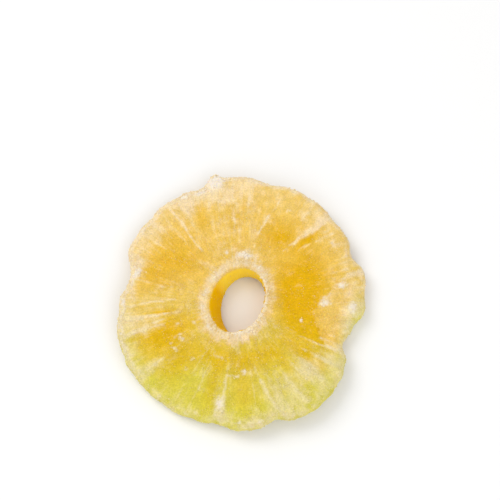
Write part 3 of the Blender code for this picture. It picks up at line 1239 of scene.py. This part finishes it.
@dataclass
class Flesh:
    """The ring's flesh, a finer copy of its solid with fibres, crust and pores, which replaces the solid."""

    mouth: Mouth
    finish: FleshFinish = field(default_factory=FleshFinish)
    levels: int = 2
    merge: float = 0.01 * MM
    quad_angle: float = math.radians(60)
    wall_from: float = 0.3
    piece: bpy.types.Object | None = None
    fields: Fields | None = None

    def copy_solid(self) -> bpy.types.Object:
        """Copy the ring's solid, merge its loose triangles into quads and subdivide them.

        Returns:
            The copy.
        """
        source = frame["nodes"][RING_NODE]
        piece = bpy.data.objects.new("flesh", source.data.copy())
        piece.data.name = "flesh"
        piece.data.materials.clear()
        bpy.context.scene.collection.objects.link(piece)
        only(piece)
        bpy.ops.mesh.customdata_custom_splitnormals_clear()
        bpy.ops.object.mode_set(mode="EDIT")
        bpy.ops.mesh.select_all(action="SELECT")
        bpy.ops.mesh.remove_doubles(threshold=self.merge)
        bpy.ops.mesh.tris_convert_to_quads(face_threshold=self.quad_angle, shape_threshold=self.quad_angle)
        bpy.ops.object.mode_set(mode="OBJECT")
        finer = piece.modifiers.new("finer", "SUBSURF")
        finer.levels = self.levels
        finer.render_levels = self.levels
        bpy.ops.object.modifier_apply(modifier=finer.name)
        piece.data.shade_smooth()
        return piece

    def read(self, places: np.ndarray, normals: np.ndarray) -> tuple[np.ndarray, Fields]:
        """Work out how far each vertex moves along its normal, and what it looks like.

        Args:
            places: The vertices' places in metres.
            normals: The vertices' normals.

        Returns:
            The moves in millimetres, and the shares of what each vertex looks like.
        """
        at = Survey.of(places, normals, self.mouth)
        marks = Marks.of(at)
        shares = (kind().share(at, marks) for kind in (Frosting, Packing, Graininess, Goldenness, LemonLean))
        return Relief().moves(at, marks), Fields(*shares, at.wall)

    def dress(self) -> None:
        """Give the flesh its materials, with the wall of the hole in the clearer one."""
        finish = self.finish
        looks = (
            ("candied_flesh", finish.gloss, finish.depth),
            ("candied_wall", finish.wall_gloss, finish.wall_depth),
        )
        for name, gloss, depth in looks:
            self.piece.data.materials.append(finish.material(name, self.mouth, gloss, depth))
        for face in self.piece.data.polygons:
            face.material_index = int(self.fields.cut[face.vertices[0]] > self.wall_from)

    def build(self) -> bpy.types.Object:
        """Make the flesh and dress it.

        Returns:
            The flesh.
        """
        piece = self.copy_solid()
        self.piece = piece
        places = vertex_rows(piece.data, "co")
        normals = vertex_rows(piece.data, "normal")
        move, self.fields = self.read(places, normals)
        places += normals * (move * MM)[:, None]
        places[:, 2] = np.maximum(places[:, 2], 0.0)
        piece.data.vertices.foreach_set("co", places.astype(np.float32).ravel())
        piece.data.update()
        self.fields.store(piece.data)
        self.dress()
        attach(piece, BODY)
        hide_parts(RING_NODE)
        return piece


# How long, wide and tall each shape of sugar is before it is scaled, and how it is made.
PROPORTIONS = {
    SugarShape.DUST: (1.0, 0.85, 1.0),
    SugarShape.GRAIN: (1.0, 0.8, 0.7),
    SugarShape.CRYSTAL: (1.0, 0.8, 0.65),
}
DUST_SIDES = 4
DUST_HEIGHT = 0.5
CRYSTAL_BEVEL = 0.14


@dataclass
class Sugar:
    """Sugar of one kind: one grain or crystal is modelled, and the rest are copies of it in one mesh.

    Sizes and the jitter are in millimetres. A grain's middle lies on the flesh where sunk is a half, and
    deeper where it is more.
    """

    name: str
    shape: SugarShape
    count: int
    smallest: float
    largest: float
    seed: int
    sunk: float
    size_lean: tuple[float, float] = (1.6, 3.0)
    stretch: tuple[float, float] = (0.75, 1.25)
    jitter: float = 0.15
    facing: Rise = Rise(-0.3, 0.6)
    underside: float = 0.35
    bare_wall: float = 0.9
    on_clear: float = 0.35
    frosted_crystals: float = 0.4
    packed_crystals: float = 0.6
    frost_for_crystals: float = 0.35
    finish: SugarFinish = field(default_factory=SugarFinish)

    def model_one(self) -> tuple[np.ndarray, list[tuple[int, ...]]]:
        """Model one piece of sugar, 1 across.

        Returns:
            Its vertices and its faces.
        """
        if self.shape is SugarShape.GRAIN:
            bpy.ops.mesh.primitive_ico_sphere_add(subdivisions=1, radius=0.5)
        elif self.shape is SugarShape.DUST:
            bpy.ops.mesh.primitive_cone_add(vertices=DUST_SIDES, radius1=0.5, depth=DUST_HEIGHT)
        else:
            bpy.ops.mesh.primitive_cube_add(size=1.0)
        bpy.ops.object.mode_set(mode="EDIT")
        bpy.ops.transform.resize(value=PROPORTIONS[self.shape])
        if self.shape is SugarShape.CRYSTAL:
            bpy.ops.mesh.bevel(offset=CRYSTAL_BEVEL, segments=1, affect="EDGES")
        bpy.ops.object.mode_set(mode="OBJECT")
        one = bpy.context.object
        places = vertex_rows(one.data, "co")
        faces = [tuple(face.vertices) for face in one.data.polygons]
        bpy.data.objects.remove(one)
        return places, faces

    def density(self, fields: Fields, normals: np.ndarray) -> np.ndarray:
        """How likely a vertex of the flesh is to carry sugar of this kind.

        Args:
            fields: What each vertex looks like.
            normals: The vertices' normals.

        Returns:
            The weights of the draw.
        """
        upward = self.underside + (1.0 - self.underside) * self.facing.of(normals[:, 2])
        upward *= 1.0 - self.bare_wall * fields.cut
        frost = np.clip(fields.frost, 0.0, 1.0)
        if self.shape is not SugarShape.CRYSTAL:
            return upward * fields.gritty * (self.on_clear + (1.0 - self.on_clear) * frost)
        frosted = np.clip(fields.frost - self.frost_for_crystals, 0.0, 1.0) ** 2
        packed = np.clip(fields.packed, 0.0, 1.0)
        return upward * (self.frosted_crystals * frosted + self.packed_crystals * packed)

    def build(self, flesh: Flesh) -> bpy.types.Object:
        """Scatter the sugar on the flesh and dress it.

        Args:
            flesh: The finished flesh.

        Returns:
            The sugar, as one mesh.
        """
        draw = np.random.default_rng(self.seed)
        skin = vertex_rows(flesh.piece.data, "co")
        normals = vertex_rows(flesh.piece.data, "normal")
        chance = self.density(flesh.fields, normals)
        rows = draw.choice(len(skin), size=self.count, replace=False, p=chance / chance.sum())
        shape, faces = self.model_one()

        sizes = self.smallest + (self.largest - self.smallest) * draw.beta(*self.size_lean, self.count)
        turns, _ = np.linalg.qr(draw.normal(size=(self.count, 3, 3)))
        turns[np.linalg.det(turns) < 0.0] *= -1.0
        stretch = draw.uniform(*self.stretch, (self.count, 1, 3))
        copies = np.einsum("nij,nvj->nvi", turns, shape[None] * stretch) * (sizes * MM)[:, None, None]
        jitter = draw.uniform(-self.jitter, self.jitter, (self.count, 3)) * MM
        centres = skin[rows] + jitter + normals[rows] * (sizes * MM * (0.5 - self.sunk) * 0.5)[:, None]
        places = (centres[:, None, :] + copies).reshape(-1, 3)
        places[:, 2] = np.maximum(places[:, 2], 0.0)

        mesh = bpy.data.meshes.new(self.name)
        step = len(shape)
        starts = range(0, self.count * step, step)
        indices = [tuple(corner + start for corner in face) for start in starts for face in faces]
        mesh.from_pydata(places.tolist(), [], indices)
        mesh.update()
        flesh.fields.at(np.repeat(rows, step)).store(mesh)
        mesh.materials.append(self.finish.material(self.name, flesh.finish))
        piece = bpy.data.objects.new(self.name, mesh)
        bpy.context.scene.collection.objects.link(piece)
        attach(piece, BODY)
        return piece


@dataclass(frozen=True)
class PhotoCamera:
    """The camera, which looks down on the ring as the photograph does."""

    elevation: float = 72.0
    lens: float = 80.0
    sensor: float = 36.0
    distance: float = 0.33875
    image: float = 500.0
    nearest: float = 0.01
    ring_pixel: tuple[float, float] = (241.5, 295.7)

    def build(self) -> bpy.types.Object:
        """Add the camera, aimed so that the ring's middle falls on its pixel.

        Returns:
            The camera.
        """
        low, high = CAD_BOX
        middle = (low + high) / 2.0
        slope = math.radians(self.elevation)
        sight = Vector((0.0, math.cos(slope), -math.sin(slope)))
        right = Vector((1.0, 0.0, 0.0))
        upward = right.cross(sight)
        focal = self.lens / self.sensor * self.image
        aside = (self.image / 2.0 - self.ring_pixel[0]) / focal
        above = (self.ring_pixel[1] - self.image / 2.0) / focal
        data = bpy.data.cameras.new("photo_camera")
        data.lens = self.lens
        data.sensor_width = self.sensor
        data.clip_start = self.nearest
        camera = bpy.data.objects.new("photo_camera", data)
        camera.location = middle - sight * self.distance
        aim = sight + right * aside + upward * above
        camera.rotation_euler = aim.to_track_quat("-Z", "Y").to_euler()
        bpy.context.scene.collection.objects.link(camera)
        bpy.context.scene.camera = camera
        return camera


@dataclass(frozen=True)
class SoftLight:
    """A square soft box."""

    name: str
    place: tuple[float, float, float]
    size: float
    power: float
    colour: tuple[float, float, float] = (1.0, 1.0, 1.0)

    def build(self) -> bpy.types.Object:
        """Add the light, aimed at the origin.

        Returns:
            The light.
        """
        data = bpy.data.lights.new(self.name, "AREA")
        data.size = self.size
        data.energy = self.power
        data.color = self.colour
        light = bpy.data.objects.new(self.name, data)
        light.location = self.place
        light.rotation_euler = (-Vector(self.place)).to_track_quat("-Z", "Y").to_euler()
        bpy.context.scene.collection.objects.link(light)
        return light


@dataclass(frozen=True)
class Studio:
    """The pale floor, the soft lights and the bright surroundings."""

    floor_size: float = 6.0
    floor_colour: Colour = (0.87, 0.87, 0.87, 1.0)
    floor_roughness: float = 0.9
    floor_gloss: float = 0.1
    surroundings: float = 0.705
    lights: tuple[SoftLight, ...] = (
        SoftLight("key_light", (-0.42, 0.30, 0.62), 0.45, 2.68, (1.0, 0.985, 0.96)),
        SoftLight("fill_light", (0.46, -0.38, 0.60), 0.60, 1.15),
        SoftLight("front_light", (0.05, -0.62, 0.42), 0.50, 1.1),
    )

    def build(self) -> None:
        """Add the floor, the lights and the world."""
        bpy.ops.mesh.primitive_plane_add(size=self.floor_size)
        floor = bpy.context.object
        floor.name = "floor"
        shader = Shader("floor")
        shader.surface.inputs["Base Color"].default_value = self.floor_colour
        shader.surface.inputs["Roughness"].default_value = self.floor_roughness
        shader.surface.inputs["Specular IOR Level"].default_value = self.floor_gloss
        floor.data.materials.append(shader.material)
        for light in self.lights:
            light.build()
        world = bpy.data.worlds.new("surroundings")
        world.use_nodes = True
        world.node_tree.nodes["Background"].inputs["Color"].default_value = (1.0, 1.0, 1.0, 1.0)
        world.node_tree.nodes["Background"].inputs["Strength"].default_value = self.surroundings
        bpy.context.scene.world = world
        bpy.context.scene.view_settings.view_transform = "Standard"


SUGARS = (
    Sugar("sugar_dust", SugarShape.DUST, 19000, 0.16, 0.40, seed=20, sunk=0.8),
    Sugar("fine_sugar", SugarShape.GRAIN, 8000, 0.24, 0.60, seed=21, sunk=0.85),
    Sugar("sugar_crystals", SugarShape.CRYSTAL, 900, 0.40, 0.90, seed=22, sunk=0.85),
)


def report(piece: bpy.types.Object) -> None:
    """Log a piece's name and how many faces it has."""
    log.info("%s: %d faces", piece.name, len(piece.data.polygons))


def main() -> None:
    """Build the camera, the studio, the flesh and the sugar in order."""
    logging.basicConfig(level=logging.INFO, format="%(message)s")
    PhotoCamera().build()
    Studio().build()
    flesh = Flesh(Mouth.from_record())
    report(flesh.build())
    for sugar in SUGARS:
        report(sugar.build(flesh))


if __name__ == "__main__":
    main()
